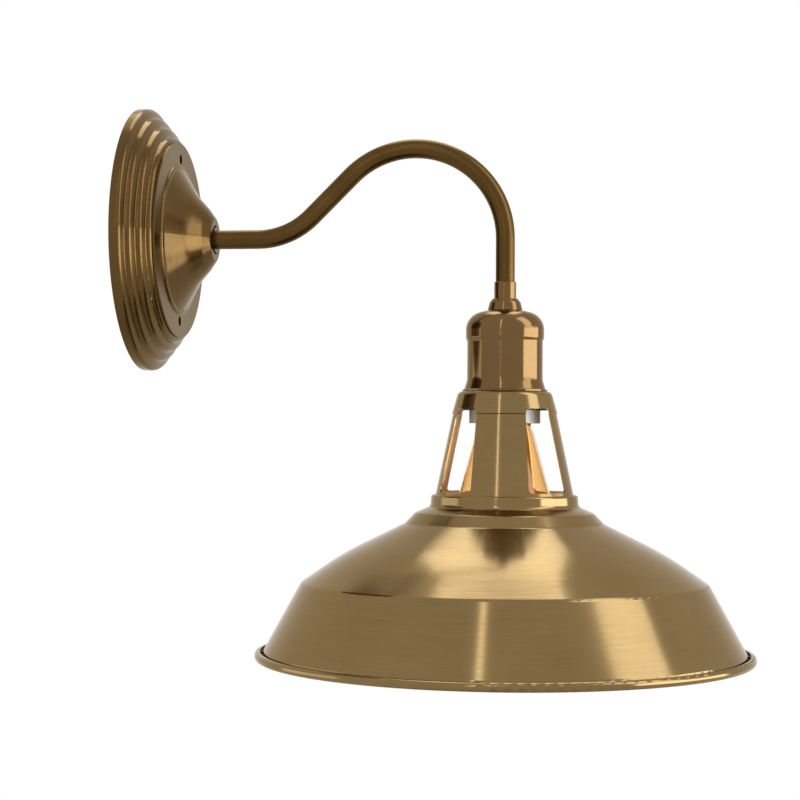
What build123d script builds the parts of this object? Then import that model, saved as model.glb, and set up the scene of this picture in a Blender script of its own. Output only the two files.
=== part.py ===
"""Gooseneck wall sconce: a spun metal shade on a swan-neck arm, held by a stepped wall dish.

Millimetres. The wall is the plane x = 0, the arm leaves it along +X, and +Z is up.
The lamp axis is vertical. Spun pieces are drawn as (radius, height) outlines and turned.
"""
from build123d import *
import math
import os

# ------------------------------------------------------------------ fits and clearances
TURNED_FIT = 0.05  # radial clearance of a turned bore on the tube or sleeve inside it
TURNING_GAP = 0.1  # between faces that meet but turn against each other

# ------------------------------------------------------------------ arm
REACH = 194.0  # wall to lamp axis
TUBE_RADIUS = 5.0
TUBE_WALL = 1.0
LOWER_BEND = 41.0  # centre-line radius of the bend that turns the arm up
HOOP_BEND = 48.0  # centre-line radius of the hoop over the lamp
INCLINE = 45.0  # degrees above level between the two bends
INCLINE_RUN = 30.0
TUBE_INNER_END = 22.0  # height of the tube's inner end above the wall

# ------------------------------------------------------------------ wall dish
DISH_RADIUS = 70.0
DISH_WALL = 0.8
DISH_STEPS = 3
RIM_RISE = 5.2
TREAD = 4.8  # how far each step goes in
TREAD_RISE = 1.6
RISER = 2.6
RISER_DRAFT = 0.3
STEP_NOSE = 2.2
STEP_VALLEY = 1.0
DISH_HOLE_RADIUS = 30.0
FIXING_SPACING = 87.0  # the two holes through flange and dish, one above the other
FIXING_HOLE_RADIUS = 2.6

# ------------------------------------------------------------------ arm flange with its cone
FLANGE_WALL = 1.2
FLANGE_RADIUS = 52.3
PAD_RADIUS = 40.4  # raised ring round the foot of the cone
PAD_RISE = 1.0
PAD_DRAFT = 0.4
PAD_BEND = 0.15
CONE_FOOT_RADIUS = 38.0
CONE_FLARE_RADIUS = 24.0
CONE_FLARE_RISE = 8.2
SHOULDER_RADIUS = 16.8
SHOULDER_RISE = 15.7
NOSE_RADIUS = 11.6
NOSE_RISE = 19.4
NOSE_HOLE_RADIUS = 7.8
CONE_FLARE_BEND = 24.0
CONE_FOOT_BEND = 3.0
SHOULDER_BEND = 6.0
NOSE_BEND = 3.0

# ------------------------------------------------------------------ arm bush, washer and nut
BUSH_RADIUS = 10.6
BUSH_LENGTH = 6.0
BUSH_SPIGOT_RADIUS = 6.9
BUSH_STANDS_PROUD = 0.5
WASHER_RADIUS = 8.6
WASHER_THICKNESS = 0.8
WASHER_TEETH = 10
WASHER_NOTCH = 1.1
NUT_ACROSS_FLATS = 14.0
ARM_NUT_HEIGHT = 4.0

# ------------------------------------------------------------------ mounting strap and wall wiring
STRAP_THICKNESS = 2.0
STRAP_WIDTH = 20.0
STRAP_FOOT_END = 49.0  # from the arm's axis to the end of each raised foot
STRAP_FOOT_START = 38.0
STRAP_BEND = 1.0
SLOT_SPACING = 58.0
SLOT_LENGTH = 11.0
SLOT_RADIUS = 2.5
TAPPED_HOLE_RADIUS = 2.0
BLOCK_LENGTH = 20.0
BLOCK_WIDTH = 13.0
BLOCK_HEIGHT = 10.0
BLOCK_DROP = 14.5  # below the arm's axis
BLOCK_POLE_PITCH = 10.0
BLOCK_BARREL_RADIUS = 2.2
BLOCK_BARREL_LENGTH = 11.0
CLAMP_SCREW_RADIUS = 1.3
CLAMP_SCREW_SPACING = 6.0
SCREW_SLOT = 0.6
BLOCK_SCREW_RADIUS = 1.5
BLOCK_SCREW_HEAD = 2.6
BLOCK_SCREW_HEAD_HEIGHT = 2.0
BLOCK_SCREW_SEAT = 4.0  # depth of the pocket for the screw's head
EARTH_SCREW_RADIUS = 2.0
EARTH_SCREW_HEAD = 3.6
EARTH_SCREW_HEAD_HEIGHT = 2.4
EARTH_RISE = 15.0  # above the arm's axis
TAG_RADIUS = 4.2
TAG_THICKNESS = 0.8
TAG_TAIL = 9.0  # from the screw to the end of the tag's tail

# ------------------------------------------------------------------ lampholder cover
COLLAR_TOP = -23.5
COLLAR_LENGTH = 9.0
COLLAR_WALL = 0.7
COLLAR_BEVEL = 0.4
HUB_LENGTH = 6.0
HUB_TOP_RADIUS = 6.7
HUB_WAIST_RADIUS = 8.1
HUB_FOOT_RADIUS = 9.2
HUB_SHOULDER = 1.8  # below the hub's top
CUP_WALL = 0.8
CUP_TOP_RADIUS = 9.4
CUP_CROWN_RISE = 2.9
CUP_CORNER_RADIUS = 20.5
CUP_CORNER_BEND = 9.5
CUP_BAND_HEIGHT = 14.6  # cup's top down to the foot of its raised band
CUP_BAND_DRAFT = 1.6
CUP_BODY_RADIUS = 19.8
CUP_BODY_HEIGHT = 36.6
CUP_FLARE_RADIUS = 22.3
CUP_HEIGHT = 42.4
CUP_LIP = 0.9  # flat edge of the cup's flared foot
CUP_LIP_BEND = 0.6
CUP_FLARE_BEND = 8.0

# ------------------------------------------------------------------ lampholder
CUP_NUT_HEIGHT = 3.0
CAP_HUB_RADIUS = 7.5
CAP_HUB_HEIGHT = 3.4
CAP_RADIUS = 17.8
CAP_WALL = 1.0
CAP_BEND = 3.5
CAP_HEIGHT = 16.0
TUBE_BELOW_CAP = 1.0
SLEEVE_RADIUS = 18.6
SLEEVE_BORE = 15.2
SLEEVE_LENGTH = 36.0
SLEEVE_SPIGOT = 5.0
SLEEVE_LEDGE_BORE = 13.0
SLEEVE_LEDGE = 2.0
INSULATOR_HEIGHT = 6.0
TERMINAL_OFFSET = 8.6
TERMINAL_WIDTH = 5.0
TERMINAL_HEIGHT = 3.4
TERMINAL_SCREW_RADIUS = 1.2
TERMINAL_SCREW_HEIGHT = 1.4
SHELL_RADIUS = 13.5  # inside, round the bulb's thread
SHELL_WALL = 0.5
SHELL_LENGTH = 24.0
PLUNGER_STEM_RADIUS = 1.5
PLUNGER_HEAD_RADIUS = 3.0
PLUNGER_HEAD_HEIGHT = 1.6
PLUNGER_TRAVEL = 1.5
RIVET_RADIUS = 2.4  # the stem's upper end, riveted over
RIVET_HEIGHT = 0.8
SPRING_WIRE_RADIUS = 0.25
SPRING_RADIUS = 2.3
SPRING_TURNS = 5
SPRING_CLEARANCE = 0.3
SPRING_POCKET = 1.6

# ------------------------------------------------------------------ shade
SHADE_WALL = 0.8
SHADE_HOLE_RADIUS = 20.0
SHADE_TURN = -45.0  # degrees from +X to the first vent
NECK_TOP_RADIUS = 24.3
NECK_TOP_BEND = 3.0
BAND_HEIGHT = 11.7
BAND_FOOT_RADIUS = 27.6
BAND_STEP = 0.4
NECK_HEIGHT = 54.8
NECK_FOOT_RADIUS = 36.2
NECK_LIP_BEND = 0.3
VENT_COUNT = 4
VENT_TOP_ANGLE = 33.5  # degrees of the neck's turn that each vent opens
VENT_FOOT_ANGLE = 41.0
VENT_TOP = 9.2  # below the neck's top
VENT_HEIGHT = 43.4
VENT_CORNER = 2.2
LEDGE_RADIUS = 38.3
LEDGE_BEND = 1.4
LEDGE_DROP = 6.1
LEDGE_FLARE = 0.4
COVE_BEND = 2.5
RING_RADIUS = 46.6
RING_DROP = 3.3
RING_BEND = 1.9
RING_FOOT_RADIUS = 52.0
RING_FOOT_DROP = 5.7
RING_FOOT_BEND = 2.8
DOME_MIDDLE_RADIUS = 84.0
DOME_MIDDLE_DROP = 15.7
DOME_BOW = 160.0
CREASE_RADIUS = 106.1
CREASE_DROP = 15.2
CREASE_BEND = 4.0
SKIRT_RADIUS = 125.6
SKIRT_DROP = 35.5
SKIRT_TUCK = 0.5
SKIRT_BEND = 2.5
BEAD_RADIUS = 2.2
RIM_RADIUS = 130.0
BEAD_OVERLAP = 0.6  # how far the curl comes back over its own middle
BEAD_ROUNDING = 0.9  # bends of the bead, as a share of half its width
BEAD_LIFT = 0.6  # bead's middle below the skirt's end

# ------------------------------------------------------------------ shade ring
SHADE_RING_RADIUS = 22.0
SHADE_RING_HEIGHT = 9.0
SHADE_RING_LIP = 1.5
SHADE_RING_GRIPS = 16
GRIP_RADIUS = 0.9

# ------------------------------------------------------------------ bulb
BULB_LENGTH = 140.0
BULB_RADIUS = 32.0
BULB_BELLY = 44.0  # lowest point up to the widest place
BULB_GLASS_WALL = 0.9
BULB_NECK_RADIUS = 15.2
BULB_NECK_LENGTH = 7.0
BULB_END_BEND = 26.0
BULB_BELLY_BEND = 60.0
BULB_NECK_BEND = 20.0
BULB_CAP_RADIUS = 13.1
BULB_CAP_WALL = 0.4
BULB_CAP_LENGTH = 26.5
BULB_CAP_LIP = 13.6
BULB_CAP_CROWN = 6.5
BULB_TIP_RADIUS = 4.4
BULB_TIP_HEIGHT = 1.5
BULB_INSULATOR_HEIGHT = 1.6
GLASS_IN_CAP = 7.0
STEM_RADIUS = 2.4
STEM_ROD_RADIUS = 1.0
STEM_LENGTH = 28.0
STEM_ROD_LENGTH = 88.0
FILAMENT_COUNT = 6
FILAMENT_RADIUS = 0.7
FILAMENT_TOP_CIRCLE = 6.0
FILAMENT_FOOT_CIRCLE = 10.0
FILAMENT_TOP = 32.0  # below the cap's lip
FILAMENT_FOOT = 84.0
SUPPORT_WIRE_RADIUS = 0.4

# ------------------------------------------------------------------ wires
WIRE_RADIUS = 1.1
WIRE_CIRCLE = 1.5  # radius of the circle on which the three wires lie in the tube
WIRE_BEND = 2.0
EARTH_ANGLE = 0  # degrees round the lamp axis from +X; the same order holds all along the tube
NEUTRAL_ANGLE = 120
LIVE_ANGLE = 240

# ------------------------------------------------------------------ worked-out places
INCLINE_RAD = math.radians(INCLINE)
LEVEL_END = REACH - (
    LOWER_BEND * math.sin(INCLINE_RAD)
    + INCLINE_RUN * math.cos(INCLINE_RAD)
    + HOOP_BEND * (1 + math.sin(INCLINE_RAD))
)
BORE_RADIUS = TUBE_RADIUS - TUBE_WALL
FITTED_BORE = TUBE_RADIUS + TURNED_FIT
LANDING = RIM_RISE + DISH_STEPS * (TREAD_RISE + RISER)
FLANGE_FACE = LANDING + FLANGE_WALL
NOSE_END = FLANGE_FACE + NOSE_RISE
BUSH_SEAT = NOSE_END - FLANGE_WALL
BUSH_BACK = BUSH_SEAT - BUSH_LENGTH
WASHER_BACK = BUSH_BACK - WASHER_THICKNESS
NUT_BACK = WASHER_BACK - ARM_NUT_HEIGHT

HUB_TOP = COLLAR_TOP - COLLAR_LENGTH
CUP_TOP = HUB_TOP - HUB_LENGTH
CUP_FOOT = CUP_TOP - CUP_HEIGHT
CUP_NUT_TOP = CUP_TOP - CUP_WALL
CAP_HUB_TOP = CUP_NUT_TOP - CUP_NUT_HEIGHT
CAP_TOP = CAP_HUB_TOP - CAP_HUB_HEIGHT
CAP_FOOT = CAP_TOP - CAP_HEIGHT
CAP_BORE = CAP_RADIUS - CAP_WALL
TUBE_OUTER_END = CAP_TOP - CAP_WALL - TUBE_BELOW_CAP
SLEEVE_SHOULDER = CAP_FOOT
SLEEVE_FOOT = SLEEVE_SHOULDER - SLEEVE_LENGTH
SLEEVE_TOP = SLEEVE_SHOULDER + SLEEVE_SPIGOT
LEDGE_TOP = SLEEVE_SHOULDER - SLEEVE_LEDGE
LEDGE_FOOT = LEDGE_TOP - SLEEVE_LEDGE
INSULATOR_TOP = LEDGE_TOP + INSULATOR_HEIGHT
PLUNGER_TIP = LEDGE_FOOT - PLUNGER_HEAD_HEIGHT - PLUNGER_TRAVEL
PLUNGER_HEAD_TOP = PLUNGER_TIP + PLUNGER_HEAD_HEIGHT
SPRING_SEAT = LEDGE_TOP + SPRING_POCKET

NECK_TOP = CUP_FOOT - TURNING_GAP
NECK_BAND_FOOT = NECK_TOP - BAND_HEIGHT
SHADE_LEDGE = NECK_TOP - NECK_HEIGHT + SHADE_WALL
BULB_TOP = PLUNGER_TIP - TURNING_GAP
BULB_CAP_FOOT = BULB_TOP - BULB_CAP_LENGTH
BULB_FOOT = BULB_TOP - BULB_LENGTH


# ------------------------------------------------------------------ ways of making a piece
def left_of(points, distance):
    """The outline moved sideways to its left by one distance, with mitred corners."""
    steps = [(b[0] - a[0], b[1] - a[1]) for a, b in zip(points, points[1:])]
    normals = [(-dy / math.hypot(dx, dy), dx / math.hypot(dx, dy)) for dx, dy in steps]
    moved = []
    for place, point in enumerate(points):
        before = normals[max(place - 1, 0)]
        after = normals[min(place, len(normals) - 1)]
        share = distance / (1 + before[0] * after[0] + before[1] * after[1])
        moved.append(
            (point[0] + (before[0] + after[0]) * share, point[1] + (before[1] + after[1]) * share)
        )
    return moved


def left_bends(points, bends, distance):
    """Bend radii of the moved outline: smaller round a left turn, larger round a right one."""
    moved = []
    for place, bend in enumerate(bends):
        (ax, ay), (bx, by), (cx, cy) = points[place : place + 3]
        left_turn = (bx - ax) * (cy - by) - (by - ay) * (cx - bx) > 0
        moved.append(max(bend - distance, 0) if left_turn else bend + distance)
    return moved


def strip(points, bends, wall):
    """A bent strip in section: one face follows the points and the other lies to their left."""
    outer = FilletPolyline(*points, radius=bends)
    inner = FilletPolyline(*left_of(points, wall), radius=left_bends(points, bends, wall))
    return make_face([outer, inner, Line(outer @ 0, inner @ 0), Line(outer @ 1, inner @ 1)])


def sheet(points, bends, wall):
    """A spun sheet whose outer face follows the points."""
    return revolve(strip(points, bends, wall), axis=Axis.Y)


def turned(points, bends=0):
    """A solid turned from a closed outline."""
    outline = FilletPolyline(*points, radius=bends, close=True) if bends else Polyline(*points, close=True)
    return revolve(make_face(outline), axis=Axis.Y)


def ring(inner, outer, low, high):
    """A plain turned ring, or a disc where the inner radius is nothing."""
    return turned([(inner, low), (outer, low), (outer, high), (inner, high)])


def on_wall(piece):
    """Stand a turned piece on the wall: its heights run out along +X."""
    return Rot(0, 0, -90) * piece


def on_lamp(piece):
    """Hang a turned piece on the lamp axis: its heights run up along +Z."""
    return Pos(REACH, 0, 0) * Rot(90, 0, 0) * piece


def hexagon(across_flats, low, high):
    """A hexagon prism about the turning axis, from one height to another."""
    outline = RegularPolygon(radius=across_flats / 2, side_count=6, major_radius=False)
    return Rot(-90, 0, 0) * Pos(0, 0, low) * extrude(outline, high - low)


def hex_nut(across_flats, low, high):
    """A hexagon nut round the arm's tube."""
    return hexagon(across_flats, low, high) - ring(0, FITTED_BORE, low, high)


def rod(start, end, radius):
    """A straight round rod from one point to another."""
    along = Vector(*end) - Vector(*start)
    return extrude(Plane(origin=start, z_dir=along) * Circle(radius), along.length)


def box_between(low, high):
    """A block given by its lowest and highest corners."""
    size = [b - a for a, b in zip(low, high)]
    middle = [(a + b) / 2 for a, b in zip(low, high)]
    return Pos(*middle) * Box(*size)


def slotted_screw(tip, head_top, shank, head, head_height):
    """A cheese-head screw along +X from its tip to the top of its head, on the X axis."""
    body = ring(0, shank, tip, head_top - head_height) + ring(0, head, head_top - head_height, head_top)
    blade = box_between((-head, head_top - SCREW_SLOT, -SCREW_SLOT / 2), (head, head_top, SCREW_SLOT / 2))
    return on_wall(body - blade)


# ------------------------------------------------------------------ the wall side
def fixing_holes(low, high):
    """The two holes through flange and dish, as plugs to cut with."""
    plug = on_wall(ring(0, FIXING_HOLE_RADIUS, low, high))
    return [Pos(0, 0, side * FIXING_SPACING / 2) * plug for side in (-1, 1)]


def wall_dish():
    """The stepped dish against the wall, with a wide hole behind the cone."""
    radius, height = DISH_RADIUS, RIM_RISE
    points = [(radius, 0), (radius, height)]
    bends = [STEP_NOSE]
    for _ in range(DISH_STEPS):
        points.append((radius - TREAD, height + TREAD_RISE))
        radius -= TREAD + RISER_DRAFT
        height += TREAD_RISE + RISER
        points.append((radius, height))
        bends += [STEP_VALLEY, STEP_NOSE]
    points.append((DISH_HOLE_RADIUS, LANDING))
    dish = on_wall(sheet(points, bends, DISH_WALL))
    return dish - fixing_holes(0, FLANGE_FACE)


def arm_flange():
    """The round flange and the cone that carries the arm, pressed from one sheet."""
    points = [
        (FLANGE_RADIUS, FLANGE_FACE),
        (PAD_RADIUS, FLANGE_FACE),
        (PAD_RADIUS - PAD_DRAFT, FLANGE_FACE + PAD_RISE),
        (CONE_FOOT_RADIUS, FLANGE_FACE + PAD_RISE),
        (CONE_FLARE_RADIUS, FLANGE_FACE + PAD_RISE + CONE_FLARE_RISE),
        (SHOULDER_RADIUS, FLANGE_FACE + SHOULDER_RISE),
        (NOSE_RADIUS, NOSE_END),
        (NOSE_HOLE_RADIUS, NOSE_END),
    ]
    bends = [PAD_BEND, FLANGE_WALL + PAD_BEND, CONE_FOOT_BEND, CONE_FLARE_BEND, SHOULDER_BEND, NOSE_BEND]
    return on_wall(sheet(points, bends, FLANGE_WALL)) - fixing_holes(0, FLANGE_FACE + PAD_RISE)


def arm_bush():
    """Turned bush that fills the cone's nose and centres the tube."""
    front = NOSE_END + BUSH_STANDS_PROUD
    points = [
        (FITTED_BORE, BUSH_BACK),
        (BUSH_RADIUS, BUSH_BACK),
        (BUSH_RADIUS, BUSH_SEAT),
        (BUSH_SPIGOT_RADIUS, BUSH_SEAT),
        (BUSH_SPIGOT_RADIUS, front),
        (FITTED_BORE, front),
    ]
    return on_wall(turned(points))


def arm_lock_washer():
    """Toothed washer behind the bush."""
    washer = ring(FITTED_BORE, WASHER_RADIUS, WASHER_BACK, BUSH_BACK)
    tooth_gap = extrude(Circle(WASHER_NOTCH), WASHER_THICKNESS)
    notch = Rot(-90, 0, 0) * Pos(WASHER_RADIUS, 0, WASHER_BACK) * tooth_gap
    for tooth in range(WASHER_TEETH):
        washer -= Rot(0, tooth * 360 / WASHER_TEETH, 0) * notch
    return on_wall(washer)


def mounting_strap():
    """Steel bar on the wall: slots for wall screws, and raised feet tapped behind the dish's holes."""
    raised = LANDING - DISH_WALL - STRAP_THICKNESS
    half = [(STRAP_FOOT_START, 0), (STRAP_FOOT_START, raised), (STRAP_FOOT_END, raised)]
    points = [(-place, height) for place, height in reversed(half)] + half
    bends = [STRAP_BEND, STRAP_BEND + STRAP_THICKNESS]
    side_on = Plane(origin=(0, 0, 0), x_dir=(0, 0, 1), z_dir=(0, 1, 0))
    section = side_on * strip(points, bends + bends[::-1], STRAP_THICKNESS)
    strap = extrude(section, STRAP_WIDTH / 2, both=True)
    slot = extrude(Plane.YZ * SlotOverall(SLOT_LENGTH, 2 * SLOT_RADIUS, rotation=90), STRAP_THICKNESS)
    for side in (-1, 1):
        strap -= Pos(0, 0, side * SLOT_SPACING / 2) * slot
        strap -= Pos(0, 0, side * FIXING_SPACING / 2) * on_wall(ring(0, TAPPED_HOLE_RADIUS, 0, LANDING))
    strap -= Pos(0, 0, EARTH_RISE) * on_wall(ring(0, EARTH_SCREW_RADIUS, 0, STRAP_THICKNESS))
    return strap - Pos(0, 0, -BLOCK_DROP) * on_wall(ring(0, BLOCK_SCREW_RADIUS, 0, STRAP_THICKNESS))


BLOCK_MIDDLE_HEIGHT = STRAP_THICKNESS + BLOCK_HEIGHT / 2
BLOCK_TOP = STRAP_THICKNESS + BLOCK_HEIGHT
BLOCK_EDGE = -BLOCK_DROP + BLOCK_WIDTH / 2  # the side of the block that faces the arm's axis
POLES = (-BLOCK_POLE_PITCH / 2, BLOCK_POLE_PITCH / 2)  # live, then neutral
CLAMPS = (-BLOCK_DROP - CLAMP_SCREW_SPACING / 2, -BLOCK_DROP + CLAMP_SCREW_SPACING / 2)


def upright_bar(place, length, radius):
    """A round bar along Z through the block's middle, at one pole."""
    low = (BLOCK_MIDDLE_HEIGHT, place, -BLOCK_DROP - length / 2)
    return rod(low, (BLOCK_MIDDLE_HEIGHT, place, -BLOCK_DROP + length / 2), radius)


def clamp_holes(place):
    """The two holes that take a pole's clamp screws."""
    return [
        rod((BLOCK_MIDDLE_HEIGHT, place, height), (BLOCK_TOP, place, height), CLAMP_SCREW_RADIUS)
        for height in CLAMPS
    ]


def terminal_block():
    """Two-pole block on the strap, bored for its barrels, clamp screws and fixing screw."""
    half = BLOCK_LENGTH / 2
    low = (STRAP_THICKNESS, -half, -BLOCK_DROP - BLOCK_WIDTH / 2)
    block = box_between(low, (BLOCK_TOP, half, BLOCK_EDGE))
    block = fillet(block.edges().filter_by(Axis.X), CLAMP_SCREW_RADIUS)
    for place in POLES:
        block -= upright_bar(place, BLOCK_WIDTH, BLOCK_BARREL_RADIUS)
        block -= clamp_holes(place)
    seat = BLOCK_TOP - BLOCK_SCREW_SEAT
    block -= rod((STRAP_THICKNESS, 0, -BLOCK_DROP), (seat, 0, -BLOCK_DROP), BLOCK_SCREW_RADIUS)
    return block - rod((seat, 0, -BLOCK_DROP), (BLOCK_TOP, 0, -BLOCK_DROP), BLOCK_SCREW_HEAD)


def block_screw():
    """Screw through the block's middle into the strap."""
    seat = BLOCK_TOP - BLOCK_SCREW_SEAT
    head_top = seat + BLOCK_SCREW_HEAD_HEIGHT
    screw = slotted_screw(0, head_top, BLOCK_SCREW_RADIUS, BLOCK_SCREW_HEAD, BLOCK_SCREW_HEAD_HEIGHT)
    return Pos(0, 0, -BLOCK_DROP) * screw


def terminal_barrels():
    """Brass barrels inside the block, one to a pole, bored from end to end for the wires."""
    bore = WIRE_RADIUS + TURNED_FIT
    barrels = []
    for place in POLES:
        barrel = upright_bar(place, BLOCK_BARREL_LENGTH, BLOCK_BARREL_RADIUS)
        barrels.append(barrel - upright_bar(place, BLOCK_BARREL_LENGTH, bore) - clamp_holes(place))
    return barrels


def terminal_clamp_screws():
    """Two small slotted screws in each pole; their tips press on the wire."""
    tip, top = BLOCK_MIDDLE_HEIGHT + WIRE_RADIUS, BLOCK_TOP - SCREW_SLOT
    screw = slotted_screw(tip, top, CLAMP_SCREW_RADIUS, CLAMP_SCREW_RADIUS, 2 * SCREW_SLOT)
    return [Pos(0, place, height) * screw for place in POLES for height in CLAMPS]


def earth_screw():
    """Screw that holds the earth tag against the strap."""
    head_top = STRAP_THICKNESS + TAG_THICKNESS + EARTH_SCREW_HEAD_HEIGHT
    screw = slotted_screw(0, head_top, EARTH_SCREW_RADIUS, EARTH_SCREW_HEAD, EARTH_SCREW_HEAD_HEIGHT)
    return Pos(0, 0, EARTH_RISE) * screw


def earth_tag():
    """Ring tag under the earth screw, with its crimped tail towards the arm."""
    top = STRAP_THICKNESS + TAG_THICKNESS
    tag = on_wall(ring(0, TAG_RADIUS, STRAP_THICKNESS, top))
    tail = box_between((STRAP_THICKNESS, -WIRE_RADIUS, -TAG_TAIL), (top, WIRE_RADIUS, 0))
    tag = tag + tail - on_wall(ring(0, EARTH_SCREW_RADIUS, STRAP_THICKNESS, top))
    return Pos(0, 0, EARTH_RISE) * tag


# ------------------------------------------------------------------ the arm and its wires
def arm_route(side=0.0, across=0.0, start=TUBE_INNER_END):
    """The arm's centre line, or a line beside it: to its left, and across towards +Y."""
    lower_middle = (LEVEL_END, LOWER_BEND)
    hoop_middle = (REACH - HOOP_BEND, HOOP_MIDDLE_HEIGHT)
    level = Line((start, side), (LEVEL_END, side))
    lower = CenterArc(lower_middle, LOWER_BEND - side, -90, INCLINE)
    hoop = CenterArc(hoop_middle, HOOP_BEND + side, 90 + INCLINE, -90 - INCLINE)
    incline = Line(lower @ 1, hoop @ 0)
    drop = Line(hoop @ 1, (REACH + side, TUBE_OUTER_END))
    return Pos(0, across, 0) * Rot(90, 0, 0) * Wire([level, lower, incline, hoop, drop])


HOOP_MIDDLE_HEIGHT = (
    LOWER_BEND * (1 - math.cos(INCLINE_RAD))
    + INCLINE_RUN * math.sin(INCLINE_RAD)
    - HOOP_BEND * math.cos(INCLINE_RAD)
)


def swept(route, radius, bore=0.0):
    """A round bar, or a tube where it has a bore, along a route."""
    section = Circle(radius) - Circle(bore) if bore else Circle(radius)
    return sweep(Plane(origin=route @ 0, z_dir=route % 0) * section, path=route)


def arm_tube():
    """The bent tube, from inside the cone to inside the lampholder's cap."""
    return swept(arm_route(), TUBE_RADIUS, BORE_RADIUS)


def wire(place, block_end, lamp_end):
    """One insulated wire from the wall side, through the tube, to its lampholder terminal."""
    angle = math.radians(place)
    side, across = WIRE_CIRCLE * math.cos(angle), WIRE_CIRCLE * math.sin(angle)
    mouth = (TUBE_INNER_END, across, side)
    leaving = (REACH + side, across, TUBE_OUTER_END)
    bending = (TUBE_INNER_END - 2 * WIRE_BEND, across, side)
    inner = FilletPolyline(*block_end, bending, mouth, radius=WIRE_BEND)
    below = TUBE_OUTER_END - WIRE_BEND
    outer = FilletPolyline(leaving, (REACH + side, across, below), *lamp_end, radius=WIRE_BEND)
    route = Wire([*inner.edges(), *arm_route(side, across).edges(), *outer.edges()])
    return swept(route, WIRE_RADIUS)


def terminal_end(angle):
    """The last two points of a wire: above its lampholder terminal, then down onto it."""
    x = REACH + TERMINAL_OFFSET * math.cos(math.radians(angle))
    y = TERMINAL_OFFSET * math.sin(math.radians(angle))
    top = INSULATOR_TOP + TERMINAL_HEIGHT
    return [(x, y, top + 2 * WIRE_BEND), (x, y, top)]


def block_end(pole):
    """The first two points of a wire: inside its barrel, then above the block."""
    lowest = CLAMPS[1] - CLAMP_SCREW_RADIUS
    return [(BLOCK_MIDDLE_HEIGHT, pole, lowest), (BLOCK_MIDDLE_HEIGHT, pole, BLOCK_EDGE + 2 * WIRE_BEND)]


def tag_end():
    """The first two points of the earth wire: on the tag's tail, then below it."""
    height = STRAP_THICKNESS + TAG_THICKNESS + WIRE_RADIUS
    lowest = EARTH_RISE - TAG_TAIL
    return [(height, 0, EARTH_RISE - EARTH_SCREW_HEAD), (height, 0, lowest)]


def live_wire():
    return wire(LIVE_ANGLE, block_end(POLES[0]), terminal_end(LIVE_ANGLE))


def neutral_wire():
    return wire(NEUTRAL_ANGLE, block_end(POLES[1]), terminal_end(NEUTRAL_ANGLE))


def earth_wire():
    return wire(EARTH_ANGLE, tag_end(), terminal_end(EARTH_ANGLE))


# ------------------------------------------------------------------ the lampholder and its cover
def collar_ferrule():
    """Thin ferrule on the tube above the cup, bevelled at its top."""
    outer = FITTED_BORE + COLLAR_WALL
    points = [
        (FITTED_BORE, HUB_TOP),
        (outer, HUB_TOP),
        (outer, COLLAR_TOP - COLLAR_BEVEL),
        (outer - COLLAR_BEVEL, COLLAR_TOP),
        (FITTED_BORE, COLLAR_TOP),
    ]
    return on_lamp(turned(points))


def cup_hub():
    """Bell-shaped hub between the ferrule and the cup."""
    points = [
        (FITTED_BORE, CUP_TOP),
        (HUB_FOOT_RADIUS, CUP_TOP),
        (HUB_WAIST_RADIUS, HUB_TOP - HUB_SHOULDER),
        (HUB_TOP_RADIUS, HUB_TOP),
        (FITTED_BORE, HUB_TOP),
    ]
    hub = turned(points)
    crown = hub.edges().filter_by(GeomType.CIRCLE).sort_by(Axis.Y)[-3:-2]
    return on_lamp(fillet(crown, HUB_TOP_RADIUS - FITTED_BORE))


def lampholder_cup():
    """Drawn cup over the lampholder: flared foot, raised band, rounded shoulder."""
    points = [
        (CUP_FLARE_RADIUS, CUP_FOOT + CUP_WALL),
        (CUP_FLARE_RADIUS - CUP_LIP, CUP_FOOT + CUP_WALL),
        (CUP_BODY_RADIUS, CUP_TOP - CUP_BODY_HEIGHT),
        (CUP_BODY_RADIUS, CUP_TOP - CUP_BAND_HEIGHT - CUP_BAND_DRAFT),
        (CUP_CORNER_RADIUS, CUP_TOP - CUP_BAND_HEIGHT),
        (CUP_CORNER_RADIUS, CUP_TOP - CUP_CROWN_RISE),
        (CUP_TOP_RADIUS, CUP_TOP),
        (FITTED_BORE, CUP_TOP),
    ]
    bends = [CUP_LIP_BEND, CUP_FLARE_BEND, CUP_BAND_DRAFT, CUP_BAND_DRAFT, CUP_CORNER_BEND, CUP_CORNER_BEND]
    return on_lamp(sheet(points, bends, CUP_WALL))


def holder_cap():
    """Metal top of the lampholder with its tapped hub."""
    points = [
        (CAP_RADIUS, CAP_FOOT),
        (CAP_RADIUS, CAP_TOP),
        (FITTED_BORE, CAP_TOP),
    ]
    cap = sheet(points, [CAP_BEND], CAP_WALL)
    return on_lamp(cap + ring(FITTED_BORE, CAP_HUB_RADIUS, CAP_TOP, CAP_HUB_TOP))


def holder_sleeve():
    """Ceramic sleeve: a spigot inside the cap, a ledge for the insulator, a skirt for the shade."""
    spigot = CAP_BORE - TURNING_GAP
    points = [
        (SLEEVE_BORE, SLEEVE_FOOT),
        (SLEEVE_RADIUS, SLEEVE_FOOT),
        (SLEEVE_RADIUS, SLEEVE_SHOULDER),
        (spigot, SLEEVE_SHOULDER),
        (spigot, SLEEVE_TOP),
        (SLEEVE_BORE, SLEEVE_TOP),
        (SLEEVE_BORE, LEDGE_TOP),
        (SLEEVE_LEDGE_BORE, LEDGE_TOP),
        (SLEEVE_LEDGE_BORE, LEDGE_FOOT),
        (SLEEVE_BORE, LEDGE_FOOT),
    ]
    return on_lamp(turned(points))


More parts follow.
